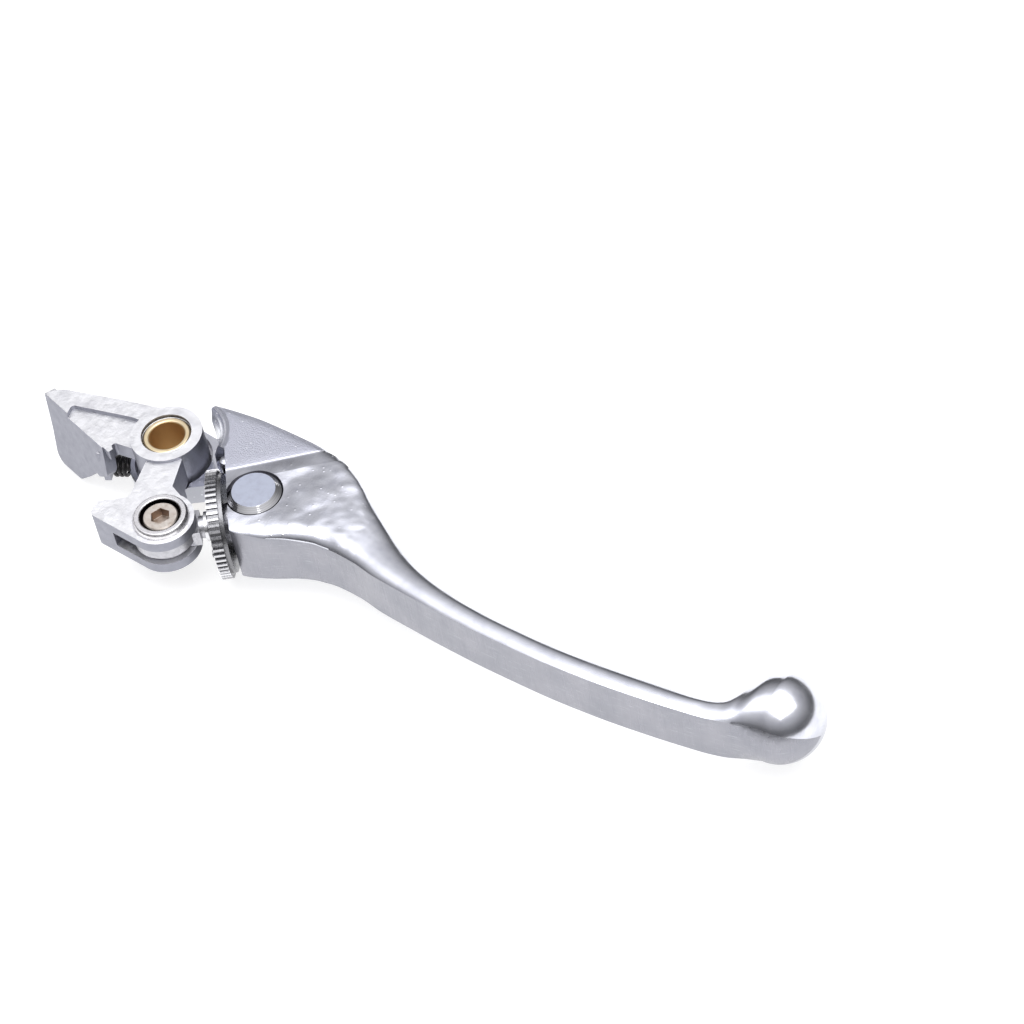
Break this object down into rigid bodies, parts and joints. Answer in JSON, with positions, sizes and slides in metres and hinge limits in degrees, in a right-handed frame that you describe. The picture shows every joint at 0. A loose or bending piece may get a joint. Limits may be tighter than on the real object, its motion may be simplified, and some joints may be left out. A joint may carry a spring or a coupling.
{
  "type": "adjustable brake lever",
  "caption": "Cast motorcycle brake lever with ball end, pivoting knocker, socket fork pin, threaded rod and knurled wheel that sets the lever's reach.",
  "frame": {"origin": "On the pivot bush's axis, at the lever's mid height", "axes": "+X from the pivot towards the ball end, +Y away from the rider, +Z along the pivot axis, up when fitted"},
  "size_m": [0.2026, 0.039, 0.0254],
  "materials": {
    "brass_bush": "turned bright brass",
    "cast_knocker": "bead-blasted casting",
    "polished_blade": "polished casting with belt-ground sides",
    "steel_pin": "matte end with a bright chamfer",
    "clip_steel": "phosphated spring steel",
    "plated_rod": "bright zinc plate",
    "plated_wheel": "bright nickel plate",
    "socket_steel": "yellow-passivated steel",
    "collar_steel": "turned bright",
    "black_coil": "black oxide spring wire"
  },
  "bodies": {
    "bush": {"pivot_bush": "brass_bush"},
    "knocker_set": {"knocker": "cast_knocker", "socket_pin": "socket_steel", "pin_collar": "collar_steel", "preload_coil": "black_coil"},
    "blade_set": {"lever_blade": "polished_blade", "thrust_washer": "brass_bush"},
    "barrel_set": {"barrel_pin": "steel_pin", "barrel_clip": "clip_steel"},
    "rod_set": {"adjuster_rod": "plated_rod", "rod_washer": "plated_rod", "rod_end_clip": "clip_steel"},
    "wheel": {"adjuster_wheel": "plated_wheel"}
  },
  "joints": [
    {"name": "lever_pull", "type": "hinge", "parent": "bush", "child": "knocker_set", "pos_m": [0, 0, 0], "axis": [0, 0, -1], "range_deg": [0, 18]},
    {"name": "reach_adjust", "type": "hinge", "parent": "knocker_set", "child": "blade_set", "pos_m": [0, 0, 0], "axis": [0, 0, 1], "range_deg": [-2, 3]},
    {"name": "rod_swivel", "type": "hinge", "parent": "knocker_set", "child": "rod_set", "pos_m": [0.0139, -0.0201, 0], "axis": [0, 0, 1], "range_deg": [-2.5, 3.5]},
    {"name": "barrel_swivel", "type": "hinge", "parent": "blade_set", "child": "barrel_set", "pos_m": [0.0306, -0.0068, 0], "axis": [0, 0, 1], "range_deg": [-0.5, 0.5]},
    {"name": "dial_turn", "type": "hinge", "parent": "barrel_set", "child": "wheel", "pos_m": [0.02352, -0.01244, 0], "axis": [0.7822, 0.623, 0], "range_deg": [-310, 465]}
  ],
  "couplings": [
    {"joint": "rod_swivel", "follows": "reach_adjust", "ratio": 0.92},
    {"joint": "barrel_swivel", "follows": "reach_adjust", "ratio": -0.08},
    {"joint": "dial_turn", "follows": "reach_adjust", "ratio": 153}
  ]
}
